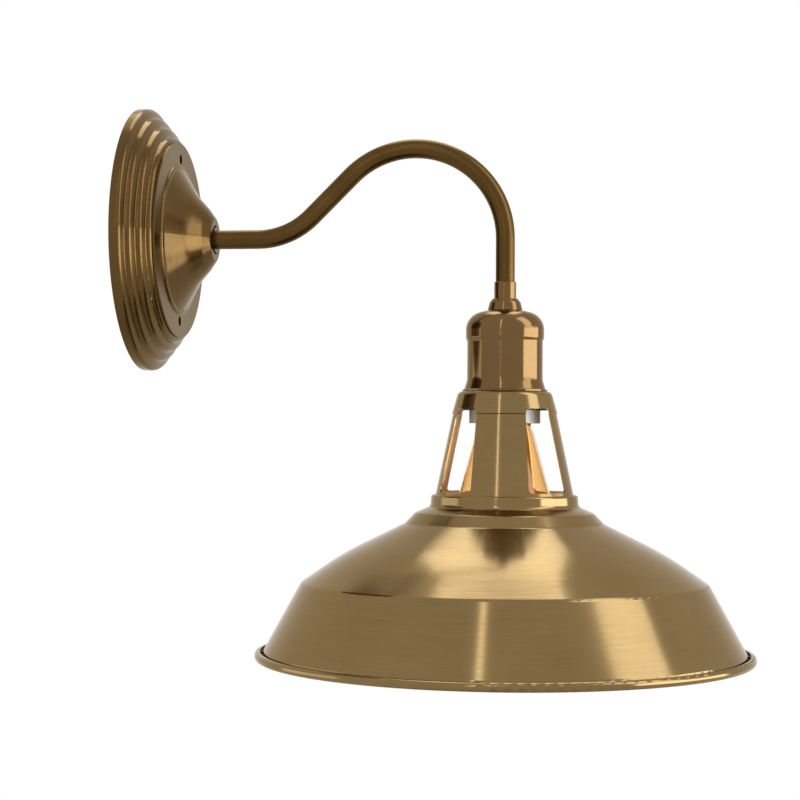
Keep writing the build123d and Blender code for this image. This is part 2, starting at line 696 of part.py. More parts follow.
def terminal_insulator():
    """Ceramic disc that holds the terminals and guides the centre contact."""
    disc = ring(PLUNGER_STEM_RADIUS + TURNED_FIT, SLEEVE_BORE - TURNING_GAP, LEDGE_TOP, INSULATOR_TOP)
    room = ring(0, SPRING_RADIUS + SPRING_WIRE_RADIUS + SPRING_CLEARANCE, LEDGE_TOP, SPRING_SEAT)
    return on_lamp(disc - room)


def terminal(angle):
    """A brass terminal with a wire seat, on the insulator."""
    middle = TERMINAL_OFFSET
    half = TERMINAL_WIDTH / 2
    top = INSULATOR_TOP + TERMINAL_HEIGHT
    block = box_between((middle - half, -half, INSULATOR_TOP), (middle + half, half, top))
    block -= rod(
        (middle, half, INSULATOR_TOP + TERMINAL_HEIGHT / 2),
        (middle, 0, INSULATOR_TOP + TERMINAL_HEIGHT / 2),
        TERMINAL_SCREW_RADIUS,
    )
    return Pos(REACH, 0, 0) * Rot(0, 0, angle) * block


def terminal_screws():
    """One screw in the side of each lampholder terminal."""
    half = TERMINAL_WIDTH / 2
    height = INSULATOR_TOP + TERMINAL_HEIGHT / 2
    screws = []
    for angle in (LIVE_ANGLE, NEUTRAL_ANGLE, EARTH_ANGLE):
        tip = (TERMINAL_OFFSET, 0, height)
        end = (TERMINAL_OFFSET, half + TERMINAL_SCREW_HEIGHT, height)
        screws.append(Pos(REACH, 0, 0) * Rot(0, 0, angle) * rod(tip, end, TERMINAL_SCREW_RADIUS))
    return screws


def screw_shell():
    """Threaded brass shell that takes the bulb, drawn plain, with its rim under the ledge."""
    points = [
        (SHELL_RADIUS + SHELL_WALL, LEDGE_FOOT - SHELL_LENGTH),
        (SHELL_RADIUS + SHELL_WALL, LEDGE_FOOT - SHELL_WALL),
        (SLEEVE_BORE - TURNING_GAP, LEDGE_FOOT - SHELL_WALL),
        (SLEEVE_BORE - TURNING_GAP, LEDGE_FOOT),
        (SHELL_RADIUS, LEDGE_FOOT),
        (SHELL_RADIUS, LEDGE_FOOT - SHELL_LENGTH),
    ]
    return on_lamp(turned(points))


def centre_contact():
    """Sprung plunger that presses on the bulb's tip, held up by its riveted end."""
    stem = ring(0, PLUNGER_STEM_RADIUS, PLUNGER_HEAD_TOP, INSULATOR_TOP)
    head = ring(0, PLUNGER_HEAD_RADIUS, PLUNGER_TIP, PLUNGER_HEAD_TOP)
    return on_lamp(stem + head + ring(0, RIVET_RADIUS, INSULATOR_TOP, INSULATOR_TOP + RIVET_HEIGHT))


def contact_spring():
    """Coil spring between the plunger's head and the pocket in the insulator."""
    low = PLUNGER_HEAD_TOP + SPRING_WIRE_RADIUS
    rise = SPRING_SEAT - PLUNGER_HEAD_TOP - 2 * SPRING_WIRE_RADIUS
    coil = Helix(pitch=rise / SPRING_TURNS, height=rise, radius=SPRING_RADIUS)
    section = Plane(origin=coil @ 0, z_dir=coil % 0) * Circle(SPRING_WIRE_RADIUS)
    return Pos(REACH, 0, low) * sweep(section, path=coil, is_frenet=True)


# ------------------------------------------------------------------ the shade
def vent_cutter():
    """A vent as a tapered prism along +X: its sides follow the neck's own taper."""
    half_angles = [math.radians(angle / 2) for angle in (VENT_TOP_ANGLE, VENT_FOOT_ANGLE)]
    top, foot = NECK_TOP - VENT_TOP, NECK_TOP - VENT_TOP - VENT_HEIGHT
    slope = (NECK_FOOT_RADIUS - BAND_FOOT_RADIUS) / (NECK_HEIGHT - BAND_HEIGHT)
    reach = [BAND_FOOT_RADIUS + slope * (NECK_BAND_FOOT - height) for height in (top, foot)]
    wide = [radius * math.sin(half) for radius, half in zip(reach, half_angles)]
    corners = [(-wide[0], top), (wide[0], top), (wide[1], foot), (-wide[1], foot)]
    outline = FilletPolyline(*corners, radius=VENT_CORNER, close=True)
    return extrude(Plane.YZ * make_face(outline), NECK_FOOT_RADIUS + SHADE_WALL)


def shade_neck():
    """Vented neck of the shade, with its foot turned out under the dome's ledge."""
    lip_height = NECK_TOP - NECK_HEIGHT
    points = [
        (LEDGE_RADIUS - LEDGE_BEND, lip_height),
        (NECK_FOOT_RADIUS, lip_height),
        (BAND_FOOT_RADIUS - BAND_STEP, NECK_BAND_FOOT - BAND_STEP),
        (BAND_FOOT_RADIUS, NECK_BAND_FOOT),
        (NECK_TOP_RADIUS, NECK_TOP),
        (SHADE_HOLE_RADIUS, NECK_TOP),
    ]
    neck = on_lamp(sheet(points, [NECK_LIP_BEND, 0, 0, NECK_TOP_BEND], SHADE_WALL))
    cutter = vent_cutter()
    for vent in range(VENT_COUNT):
        neck -= Pos(REACH, 0, 0) * Rot(0, 0, SHADE_TURN + vent * 360 / VENT_COUNT) * cutter
    return neck


def shade_dome():
    """Spun dome: ledge and ring round the neck, bowed top, crease, skirt and curled rim."""
    curl = BEAD_RADIUS - SHADE_WALL
    ledge_foot = SHADE_LEDGE - LEDGE_DROP
    ring_foot = ledge_foot - RING_DROP - RING_FOOT_DROP
    crease = ring_foot - DOME_MIDDLE_DROP - CREASE_DROP
    skirt_end = crease - SKIRT_DROP
    bead_middle = skirt_end - BEAD_LIFT - curl
    bead_radius = RIM_RADIUS - BEAD_RADIUS
    points = [
        (bead_radius - BEAD_OVERLAP, bead_middle + curl),
        (bead_radius + curl, bead_middle + curl),
        (bead_radius + curl, bead_middle - curl),
        (SKIRT_RADIUS - SKIRT_TUCK, bead_middle - curl),
        (SKIRT_RADIUS, skirt_end),
        (CREASE_RADIUS, crease),
        (DOME_MIDDLE_RADIUS, ring_foot - DOME_MIDDLE_DROP),
        (RING_FOOT_RADIUS, ring_foot),
        (RING_RADIUS, ledge_foot - RING_DROP),
        (LEDGE_RADIUS + LEDGE_FLARE, ledge_foot),
        (LEDGE_RADIUS, SHADE_LEDGE),
        (NECK_FOOT_RADIUS + NECK_LIP_BEND, SHADE_LEDGE),
    ]
    round_curl = BEAD_ROUNDING * curl
    bends = [round_curl, round_curl, round_curl, SKIRT_BEND, CREASE_BEND, DOME_BOW]
    bends += [RING_FOOT_BEND, RING_BEND, COVE_BEND, LEDGE_BEND]
    return on_lamp(sheet(points, bends, SHADE_WALL))


def shade_ring():
    """Threaded ring that clamps the shade's top against the cup, with grips round its edge."""
    top = NECK_TOP - SHADE_WALL - TURNING_GAP
    foot = top - SHADE_RING_HEIGHT
    bore = SLEEVE_RADIUS + TURNED_FIT
    body = ring(bore, SHADE_RING_RADIUS, foot, top - SHADE_RING_LIP)
    body += ring(bore, SHADE_RING_RADIUS, top - SHADE_RING_LIP, top)
    grip = Rot(-90, 0, 0) * Pos(SHADE_RING_RADIUS, 0, foot) * Cylinder(
        GRIP_RADIUS, SHADE_RING_HEIGHT - SHADE_RING_LIP, align=(Align.CENTER, Align.CENTER, Align.MIN)
    )
    for place in range(SHADE_RING_GRIPS):
        body -= Rot(0, place * 360 / SHADE_RING_GRIPS, 0) * grip
    return on_lamp(body)


# ------------------------------------------------------------------ the bulb
def bulb_glass():
    """Teardrop envelope with a wall, its neck inside the cap."""
    inside_cap = BULB_CAP_RADIUS - BULB_CAP_WALL - TURNED_FIT
    points = [
        (0, BULB_FOOT),
        (BULB_RADIUS, BULB_FOOT),
        (BULB_RADIUS, BULB_FOOT + BULB_BELLY),
        (BULB_NECK_RADIUS, BULB_CAP_FOOT - BULB_NECK_LENGTH),
        (inside_cap, BULB_CAP_FOOT - TURNING_GAP),
        (inside_cap, BULB_CAP_FOOT + GLASS_IN_CAP),
    ]
    bends = [BULB_END_BEND, BULB_BELLY_BEND, BULB_NECK_BEND, BULB_GLASS_WALL]
    return on_lamp(sheet(points, bends, BULB_GLASS_WALL))


def bulb_cap():
    """Screw cap of the bulb, drawn plain at the crests of its thread."""
    crown = BULB_TOP - BULB_TIP_HEIGHT - BULB_INSULATOR_HEIGHT
    slope = BULB_CAP_RADIUS - BULB_CAP_CROWN
    points = [
        (BULB_CAP_LIP, BULB_CAP_FOOT),
        (BULB_CAP_RADIUS, BULB_CAP_FOOT + 2 * (BULB_CAP_LIP - BULB_CAP_RADIUS)),
        (BULB_CAP_RADIUS, crown - slope / 2),
        (BULB_CAP_CROWN, crown),
    ]
    return on_lamp(sheet(points, [BULB_CAP_WALL, BULB_CAP_WALL * 2], BULB_CAP_WALL))


def bulb_insulator():
    """Black glass button that closes the cap round its tip."""
    tip_seat = BULB_TOP - BULB_TIP_HEIGHT
    crown = tip_seat - BULB_INSULATOR_HEIGHT
    inner = BULB_CAP_CROWN - BULB_CAP_WALL
    foot = crown - BULB_CAP_WALL
    points = [(0, foot), (inner, foot), (inner, crown), (BULB_TIP_RADIUS, tip_seat), (0, tip_seat)]
    return on_lamp(turned(points))


def bulb_tip():
    """Soldered contact at the end of the cap."""
    tip_seat = BULB_TOP - BULB_TIP_HEIGHT
    tip = ring(0, BULB_TIP_RADIUS, tip_seat, BULB_TOP)
    crown = tip.edges().filter_by(GeomType.CIRCLE).sort_by(Axis.Y)[-1]
    return on_lamp(fillet(crown, BULB_TIP_HEIGHT / 2))


def bulb_stem():
    """Glass mount: a flare sealed in the neck, a stem and the long rod that carries the filament."""
    flare = BULB_CAP_RADIUS - BULB_CAP_WALL - TURNED_FIT - BULB_GLASS_WALL
    top = BULB_CAP_FOOT + GLASS_IN_CAP
    points = [
        (0, BULB_CAP_FOOT - STEM_ROD_LENGTH),
        (STEM_ROD_RADIUS, BULB_CAP_FOOT - STEM_ROD_LENGTH),
        (STEM_ROD_RADIUS, BULB_CAP_FOOT - STEM_LENGTH),
        (STEM_RADIUS, BULB_CAP_FOOT - STEM_LENGTH),
        (STEM_RADIUS, BULB_CAP_FOOT),
        (flare, top - BULB_GLASS_WALL),
        (flare, top),
        (0, top),
    ]
    return on_lamp(turned(points))


def filament_ends():
    """Upper and lower end of each filament stick, about the lamp axis."""
    ends = []
    for place in range(FILAMENT_COUNT):
        angle = math.radians(place * 360 / FILAMENT_COUNT)
        across, along = math.cos(angle), math.sin(angle)
        high = (FILAMENT_TOP_CIRCLE * across, FILAMENT_TOP_CIRCLE * along, BULB_CAP_FOOT - FILAMENT_TOP)
        low = (FILAMENT_FOOT_CIRCLE * across, FILAMENT_FOOT_CIRCLE * along, BULB_CAP_FOOT - FILAMENT_FOOT)
        ends.append((high, low))
    return ends


def bulb_filaments():
    """Straight glowing sticks in a cage round the glass rod."""
    return [Pos(REACH, 0, 0) * rod(high, low, FILAMENT_RADIUS) for high, low in filament_ends()]


def filament_supports():
    """Fine wires from the rod to both ends of each stick."""
    wires = []
    for ends in filament_ends():
        for x, y, z in ends:
            circle = math.hypot(x, y)
            start = (x * STEM_ROD_RADIUS / circle, y * STEM_ROD_RADIUS / circle, z)
            end = (x * (circle - FILAMENT_RADIUS) / circle, y * (circle - FILAMENT_RADIUS) / circle, z)
            wires.append(Pos(REACH, 0, 0) * rod(start, end, SUPPORT_WIRE_RADIUS))
    return wires


# ------------------------------------------------------------------ all pieces, by name
def all_pieces():
    pieces = {
        "wall_dish": wall_dish(),
        "arm_flange": arm_flange(),
        "arm_bush": arm_bush(),
        "arm_lock_washer": arm_lock_washer(),
        "arm_lock_nut": on_wall(hex_nut(NUT_ACROSS_FLATS, NUT_BACK, WASHER_BACK)),
        "arm_tube": arm_tube(),
        "mounting_strap": mounting_strap(),
        "terminal_block": terminal_block(),
        "terminal_barrels": terminal_barrels(),
        "terminal_clamp_screws": terminal_clamp_screws(),
        "block_screw": block_screw(),
        "earth_screw": earth_screw(),
        "earth_tag": earth_tag(),
        "live_wire": live_wire(),
        "neutral_wire": neutral_wire(),
        "earth_wire": earth_wire(),
        "collar_ferrule": collar_ferrule(),
        "cup_hub": cup_hub(),
        "lampholder_cup": lampholder_cup(),
        "cup_lock_nut": on_lamp(hex_nut(NUT_ACROSS_FLATS, CAP_HUB_TOP, CUP_NUT_TOP)),
        "holder_cap": holder_cap(),
        "holder_sleeve": holder_sleeve(),
        "terminal_insulator": terminal_insulator(),
        "live_terminal": terminal(LIVE_ANGLE),
        "neutral_terminal": terminal(NEUTRAL_ANGLE),
        "earth_terminal": terminal(EARTH_ANGLE),
        "terminal_screws": terminal_screws(),
        "screw_shell": screw_shell(),
        "centre_contact": centre_contact(),
        "contact_spring": contact_spring(),
        "shade_neck": shade_neck(),
        "shade_dome": shade_dome(),
        "shade_ring": shade_ring(),
        "bulb_glass": bulb_glass(),
        "bulb_cap": bulb_cap(),
        "bulb_insulator": bulb_insulator(),
        "bulb_tip": bulb_tip(),
        "bulb_stem": bulb_stem(),
        "bulb_filaments": bulb_filaments(),
        "filament_supports": filament_supports(),
    }
    return pieces


os.makedirs("parts", exist_ok=True)
for name, piece in all_pieces().items():
    drawn = piece if isinstance(piece, list) else [piece]
    solids = [solid for part in drawn for solid in part.solids()]
    export_step(Compound(children=solids), f"parts/{name}.step")
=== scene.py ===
"""Looks of the gooseneck wall sconce: brushed antique brass, amber bulb, white studio."""
import math

import bpy
from mathutils import Matrix, Vector


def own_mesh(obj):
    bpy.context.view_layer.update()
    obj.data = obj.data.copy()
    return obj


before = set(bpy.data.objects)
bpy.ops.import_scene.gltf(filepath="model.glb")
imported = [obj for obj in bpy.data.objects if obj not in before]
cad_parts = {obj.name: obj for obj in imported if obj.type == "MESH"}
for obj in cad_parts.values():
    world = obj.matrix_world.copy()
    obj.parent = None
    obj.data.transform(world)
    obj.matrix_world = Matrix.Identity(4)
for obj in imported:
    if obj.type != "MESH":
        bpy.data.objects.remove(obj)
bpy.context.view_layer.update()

# ------------------------------------------------------------------ places, in metres
REACH = 0.194  # wall to lamp axis
LAMP_AXIS = (REACH, 0, 0)
RIM_INSIDE = 0.1235  # the shade is raw inside this radius
FLOOR_HEIGHT = -1.6
FLOOR_SIZE = 12.0
FLOOR_SHADED = 0.3  # the floor shows its own shading out to this radius
FLOOR_WHITE = 1.2  # and is plain white from this one

# the photograph's camera
CAMERA_AT = (0.269, -0.9642, -0.1047)
CAMERA_LOOKS_AT = (0.1386, 0.0, -0.0856)
CAMERA_ROLL = math.radians(0.28)
LENS = 82.94  # millimetres on a 36 mm sensor


def colour(red, green, blue):
    """A colour written as it is seen, in 0 to 255, given as the linear value a shader takes."""
    linear = [
        part / 255 / 12.92 if part <= 10 else ((part / 255 + 0.055) / 1.055) ** 2.4
        for part in (red, green, blue)
    ]
    return (*linear, 1.0)


# ------------------------------------------------------------------ building a material
def new_material(name):
    """An empty material with its Principled shader."""
    material = bpy.data.materials.new(name)
    material.use_nodes = True
    nodes = material.node_tree.nodes
    return material, nodes, material.node_tree.links, nodes["Principled BSDF"]


def add(nodes, kind, **settings):
    """A node of one kind with its settings; a number or colour goes to the socket of that name."""
    node = nodes.new(kind)
    for name, value in settings.items():
        if hasattr(node, name):
            setattr(node, name, value)
        else:
            node.inputs[name.replace("_", " ")].default_value = value
    return node


def between(nodes, links, factor, low, high):
    """A number that runs from low to high as the factor runs from 0 to 1."""
    spread = add(nodes, "ShaderNodeMapRange")
    spread.inputs["To Min"].default_value = low
    spread.inputs["To Max"].default_value = high
    links.new(factor, spread.inputs["Value"])
    return spread.outputs["Result"]


def blend_colours(nodes, links, factor, first, second):
    """A colour between two, each a socket or a fixed colour."""
    mix = add(nodes, "ShaderNodeMix", data_type="RGBA")
    links.new(factor, mix.inputs["Factor"])
    for socket, value in ((mix.inputs["A"], first), (mix.inputs["B"], second)):
        if isinstance(value, bpy.types.NodeSocket):
            links.new(value, socket)
        else:
            socket.default_value = value
    return mix.outputs["Result"]


SHARE_OF_TURN = 0.002  # how much the lathe lines vary round the piece


def turning_lines(nodes, links, axis_at, lying):
    """Coordinates that follow the lathe: distance from the axis, a little of the turn, and height.

    axis_at is a point on the turning axis, which is upright, or along +X where it is lying.
    """
    place = add(nodes, "ShaderNodeTexCoord")
    centred = add(nodes, "ShaderNodeVectorMath", operation="SUBTRACT")
    centred.inputs[1].default_value = axis_at
    links.new(place.outputs["Object"], centred.inputs[0])
    parts = add(nodes, "ShaderNodeSeparateXYZ")
    links.new(centred.outputs[0], parts.inputs[0])
    across, along, height = ("Y", "Z", "X") if lying else ("X", "Y", "Z")
    flat = add(nodes, "ShaderNodeCombineXYZ")
    links.new(parts.outputs[across], flat.inputs["X"])
    links.new(parts.outputs[along], flat.inputs["Y"])
    radius = add(nodes, "ShaderNodeVectorMath", operation="LENGTH")
    links.new(flat.outputs[0], radius.inputs[0])
    turn = add(nodes, "ShaderNodeMath", operation="ARCTAN2")
    links.new(parts.outputs[along], turn.inputs[0])
    links.new(parts.outputs[across], turn.inputs[1])
    slow_turn = add(nodes, "ShaderNodeMath", operation="MULTIPLY")
    slow_turn.inputs[1].default_value = SHARE_OF_TURN
    links.new(turn.outputs[0], slow_turn.inputs[0])
    lathe = add(nodes, "ShaderNodeCombineXYZ")
    links.new(radius.outputs["Value"], lathe.inputs["X"])
    links.new(slow_turn.outputs[0], lathe.inputs["Y"])
    links.new(parts.outputs[height], lathe.inputs["Z"])
    return lathe.outputs[0], centred.outputs[0]


PATINA = 0.2  # how far the patina darkens spun metal


def spun_metal(name, bright, dark, axis_at, lying, roughness, brushing, lacquer):
    """Satin metal spun or turned on one axis: fine lines round it, slow patina over it, thin lacquer."""
    material, nodes, links, shader = new_material(name)
    lathe, place = turning_lines(nodes, links, axis_at, lying)
    fine = add(nodes, "ShaderNodeTexNoise", Scale=5200.0, Detail=2.0, Roughness=0.6)
    coarse = add(nodes, "ShaderNodeTexNoise", Scale=1300.0, Detail=3.0, Roughness=0.7)
    patina = add(nodes, "ShaderNodeTexNoise", Scale=22.0, Detail=4.0, Roughness=0.55)
    links.new(lathe, fine.inputs["Vector"])
    links.new(lathe, coarse.inputs["Vector"])
    links.new(place, patina.inputs["Vector"])
    lines = add(nodes, "ShaderNodeMath", operation="ADD")
    links.new(fine.outputs["Fac"], lines.inputs[0])
    links.new(coarse.outputs["Fac"], lines.inputs[1])
    streaks = add(nodes, "ShaderNodeMapRange")
    streaks.inputs["From Min"].default_value = 0.7
    streaks.inputs["From Max"].default_value = 1.3
    links.new(lines.outputs[0], streaks.inputs["Value"])
    cloud = add(nodes, "ShaderNodeMapRange")
    cloud.inputs["From Min"].default_value = 0.38
    cloud.inputs["From Max"].default_value = 0.66
    links.new(patina.outputs["Fac"], cloud.inputs["Value"])
    wear = between(nodes, links, streaks.outputs[0], 0.0, brushing)
    worn = blend_colours(nodes, links, wear, bright, dark)
    age = between(nodes, links, cloud.outputs[0], 0.0, PATINA)
    links.new(blend_colours(nodes, links, age, worn, dark), shader.inputs["Base Color"])
    satin = between(nodes, links, streaks.outputs[0], roughness * 0.85, roughness * 1.2)
    links.new(satin, shader.inputs["Roughness"])
    bump = add(nodes, "ShaderNodeBump", Strength=0.25 * brushing, Distance=0.00004)
    links.new(lines.outputs[0], bump.inputs["Height"])
    links.new(bump.outputs[0], shader.inputs["Normal"])
    round_axis = add(nodes, "ShaderNodeTangent", direction_type="RADIAL", axis="X" if lying else "Z")
    links.new(round_axis.outputs[0], shader.inputs["Tangent"])
    shader.inputs["Metallic"].default_value = 1.0
    shader.inputs["Specular Tint"].default_value = EDGE_TINT
    shader.inputs["Anisotropic"].default_value = 0.8
    shader.inputs["Anisotropic Rotation"].default_value = 0.25
    shader.inputs["Coat Weight"].default_value = lacquer
    shader.inputs["Coat Roughness"].default_value = 0.08
    return material


def leave_inside_raw(material):
    """The shade's inside: pale raw brass under lacquer, without the dark patina."""
    nodes, links = material.node_tree.nodes, material.node_tree.links
    shader = nodes["Principled BSDF"]
    place = add(nodes, "ShaderNodeTexCoord")
    from_axis = add(nodes, "ShaderNodeVectorMath", operation="SUBTRACT")
    from_axis.inputs[1].default_value = LAMP_AXIS
    flat = add(nodes, "ShaderNodeVectorMath", operation="MULTIPLY")
    flat.inputs[1].default_value = (1, 1, 0)
    unit = add(nodes, "ShaderNodeVectorMath", operation="NORMALIZE")
    upward = add(nodes, "ShaderNodeVectorMath", operation="ADD")
    upward.inputs[1].default_value = (0, 0, 1)
    facing = add(nodes, "ShaderNodeVectorMath", operation="DOT_PRODUCT")
    length = add(nodes, "ShaderNodeVectorMath", operation="LENGTH")
    links.new(place.outputs["Object"], from_axis.inputs[0])
    links.new(from_axis.outputs[0], flat.inputs[0])
    links.new(flat.outputs[0], unit.inputs[0])
    links.new(flat.outputs[0], length.inputs[0])
    links.new(unit.outputs[0], upward.inputs[0])
    links.new(upward.outputs[0], facing.inputs[0])
    links.new(place.outputs["Normal"], facing.inputs[1])
    inward = add(nodes, "ShaderNodeMapRange")
    inward.inputs["From Min"].default_value = -0.15
    inward.inputs["From Max"].default_value = -0.35
    links.new(facing.outputs["Value"], inward.inputs["Value"])
    within_rim = add(nodes, "ShaderNodeMath", operation="LESS_THAN")
    within_rim.inputs[1].default_value = RIM_INSIDE
    links.new(length.outputs["Value"], within_rim.inputs[0])
    inside = add(nodes, "ShaderNodeMath", operation="MULTIPLY")
    links.new(inward.outputs["Result"], inside.inputs[0])
    links.new(within_rim.outputs[0], inside.inputs[1])
    worn = shader.inputs["Base Color"].links[0].from_socket
    cleaned = blend_colours(nodes, links, inside.outputs[0], worn, RAW_BRASS)
    links.new(cleaned, shader.inputs["Base Color"])
    links.new(between(nodes, links, inside.outputs[0], 1.0, 0.3), shader.inputs["Metallic"])


def drawn_tube():
    """The arm's brushed bronze, polished along the tube."""
    material, nodes, links, shader = new_material("arm_bronze")
    place = add(nodes, "ShaderNodeTexCoord")
    patina = add(nodes, "ShaderNodeTexNoise", Scale=55.0, Detail=4.0, Roughness=0.6)
    scratches = add(nodes, "ShaderNodeTexNoise", Scale=1500.0, Detail=2.0, Roughness=0.6)
    links.new(place.outputs["Object"], patina.inputs["Vector"])
    links.new(place.outputs["Object"], scratches.inputs["Vector"])
    age = between(nodes, links, patina.outputs["Fac"], 0.0, 0.8)
    aged = blend_colours(nodes, links, age, OLD_BRONZE, OLD_BRONZE_DARK)
    links.new(aged, shader.inputs["Base Color"])
    links.new(between(nodes, links, scratches.outputs["Fac"], 0.20, 0.40), shader.inputs["Roughness"])
    bump = add(nodes, "ShaderNodeBump", Strength=0.08, Distance=0.00005)
    links.new(scratches.outputs["Fac"], bump.inputs["Height"])
    links.new(bump.outputs[0], shader.inputs["Normal"])
    shader.inputs["Metallic"].default_value = 1.0
    shader.inputs["Specular Tint"].default_value = EDGE_TINT
    return material


def plated(name, bright, dark, roughness):
    """A plated or turned metal with faint cloudy wear."""
    material, nodes, links, shader = new_material(name)
    place = add(nodes, "ShaderNodeTexCoord")
    wear = add(nodes, "ShaderNodeTexNoise", Scale=320.0, Detail=4.0, Roughness=0.6)
    links.new(place.outputs["Object"], wear.inputs["Vector"])
    worn = blend_colours(nodes, links, wear.outputs["Fac"], bright, dark)
    links.new(worn, shader.inputs["Base Color"])
    satin = between(nodes, links, wear.outputs["Fac"], roughness * 0.7, roughness * 1.3)
    links.new(satin, shader.inputs["Roughness"])
    shader.inputs["Metallic"].default_value = 1.0
    return material


def moulded(name, tint, shadow, roughness):
    """Plastic, porcelain or rubber: a fine skin with a slight change of tint."""
    material, nodes, links, shader = new_material(name)
    place = add(nodes, "ShaderNodeTexCoord")
    skin = add(nodes, "ShaderNodeTexNoise", Scale=600.0, Detail=3.0, Roughness=0.5)
    links.new(place.outputs["Object"], skin.inputs["Vector"])
    mottled = blend_colours(nodes, links, skin.outputs["Fac"], tint, shadow)
    links.new(mottled, shader.inputs["Base Color"])
    sheen = between(nodes, links, skin.outputs["Fac"], roughness * 0.85, roughness * 1.15)
    links.new(sheen, shader.inputs["Roughness"])
    bump = add(nodes, "ShaderNodeBump", Strength=0.3, Distance=0.00003)
    links.new(skin.outputs["Fac"], bump.inputs["Height"])
    links.new(bump.outputs[0], shader.inputs["Normal"])
    return material


def blown_glass(name, tint, sheen):
    """Thin blown glass."""
    material, nodes, links, shader = new_material(name)
    place = add(nodes, "ShaderNodeTexCoord")
    ripple = add(nodes, "ShaderNodeTexNoise", Scale=60.0, Detail=1.0)
    links.new(place.outputs["Object"], ripple.inputs["Vector"])
    bump = add(nodes, "ShaderNodeBump", Strength=0.05, Distance=0.0004)
    links.new(ripple.outputs["Fac"], bump.inputs["Height"])
    links.new(bump.outputs[0], shader.inputs["Normal"])
    shader.inputs["Base Color"].default_value = tint
    shader.inputs["Roughness"].default_value = 0.0
    shader.inputs["IOR"].default_value = 1.45
    shader.inputs["Specular Tint"].default_value = sheen
    shader.inputs["Transmission Weight"].default_value = 1.0
    return material


def phosphor():
    """The filaments' yellow coating."""
    material, nodes, links, shader = new_material("phosphor")
    place = add(nodes, "ShaderNodeTexCoord")
    grains = add(nodes, "ShaderNodeTexNoise", Scale=2500.0, Detail=2.0)
    links.new(place.outputs["Object"], grains.inputs["Vector"])
    links.new(
        blend_colours(nodes, links, grains.outputs["Fac"], colour(255, 196, 92), colour(232, 150, 50)),
        shader.inputs["Base Color"],
    )
    shader.inputs["Roughness"].default_value = 0.6
    return material


# ------------------------------------------------------------------ finishes of this light
BRASS = colour(132, 108, 70)
BRASS_DARK = colour(100, 80, 48)
RAW_BRASS = colour(240, 206, 152)
EDGE_TINT = colour(232, 224, 210)  # old metal keeps its brown at a glancing angle
BRONZE = colour(112, 86, 52)
BRONZE_DARK = colour(76, 52, 25)
OLD_BRONZE = colour(96, 72, 38)
OLD_BRONZE_DARK = colour(64, 45, 18)

shade_brass = spun_metal("shade_brass", BRASS, BRASS_DARK, LAMP_AXIS, False, 0.16, 0.3, 0.04)
leave_inside_raw(shade_brass)
cup_bronze = spun_metal("cup_bronze", BRONZE, BRONZE_DARK, LAMP_AXIS, False, 0.15, 0.15, 0.08)
dish_bronze = spun_metal("dish_bronze", OLD_BRONZE, OLD_BRONZE_DARK, (0, 0, 0), True, 0.2, 0.2, 0.06)
arm_bronze = drawn_tube()
zinc = plated("zinc", colour(196, 198, 200), colour(160, 162, 166), 0.35)
turned_brass = plated("turned_brass", colour(222, 188, 118), colour(190, 150, 84), 0.3)
spring_steel = plated("spring_steel", colour(170, 172, 176), colour(128, 130, 134), 0.3)
solder = plated("solder", colour(186, 186, 184), colour(150, 150, 148), 0.4)
steatite = moulded("steatite", colour(244, 238, 226), colour(230, 222, 206), 0.35)
brown_ring = moulded("brown_ring", colour(54, 42, 34), colour(38, 29, 24), 0.32)
natural_plastic = moulded("natural_plastic", colour(236, 234, 226), colour(222, 219, 208), 0.5)
brown_sleeve = moulded("brown_sleeve", colour(104, 62, 34), colour(84, 48, 26), 0.45)
blue_sleeve = moulded("blue_sleeve", colour(46, 92, 168), colour(34, 76, 146), 0.45)
green_sleeve = moulded("green_sleeve", colour(96, 156, 58), colour(216, 204, 60), 0.45)
black_glass = moulded("black_glass", colour(26, 24, 28), colour(16, 15, 18), 0.12)
amber_glass = blown_glass("amber_glass", colour(255, 226, 180), colour(255, 226, 190))
clear_glass = blown_glass("clear_glass", colour(246, 250, 246), colour(255, 250, 240))
filament_coat = phosphor()

FINISHES = {
    dish_bronze: ["wall_dish", "arm_flange", "arm_bush"],
    arm_bronze: ["arm_tube"],
    cup_bronze: ["collar_ferrule", "cup_hub", "lampholder_cup"],
    shade_brass: ["shade_neck", "shade_dome"],
    zinc: [
        "arm_lock_washer", "arm_lock_nut", "mounting_strap", "cup_lock_nut", "block_screw",
        "terminal_clamp_screws", "terminal_screws", "holder_cap",
    ],
    turned_brass: [
        "earth_screw", "earth_tag", "terminal_barrels", "live_terminal", "neutral_terminal",
        "earth_terminal", "screw_shell", "centre_contact", "bulb_cap",
    ],
    spring_steel: ["contact_spring", "filament_supports"],
    solder: ["bulb_tip"],
    steatite: ["holder_sleeve", "terminal_insulator"],
    brown_ring: ["shade_ring"],
    natural_plastic: ["terminal_block"],
    brown_sleeve: ["live_wire"],
    blue_sleeve: ["neutral_wire"],
    green_sleeve: ["earth_wire"],
    black_glass: ["bulb_insulator"],
    amber_glass: ["bulb_glass"],
    clear_glass: ["bulb_stem"],
    filament_coat: ["bulb_filaments"],
}
for finish, names in FINISHES.items():
    for name in names:
        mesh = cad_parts[name].data
        mesh.materials.clear()
        mesh.materials.append(finish)


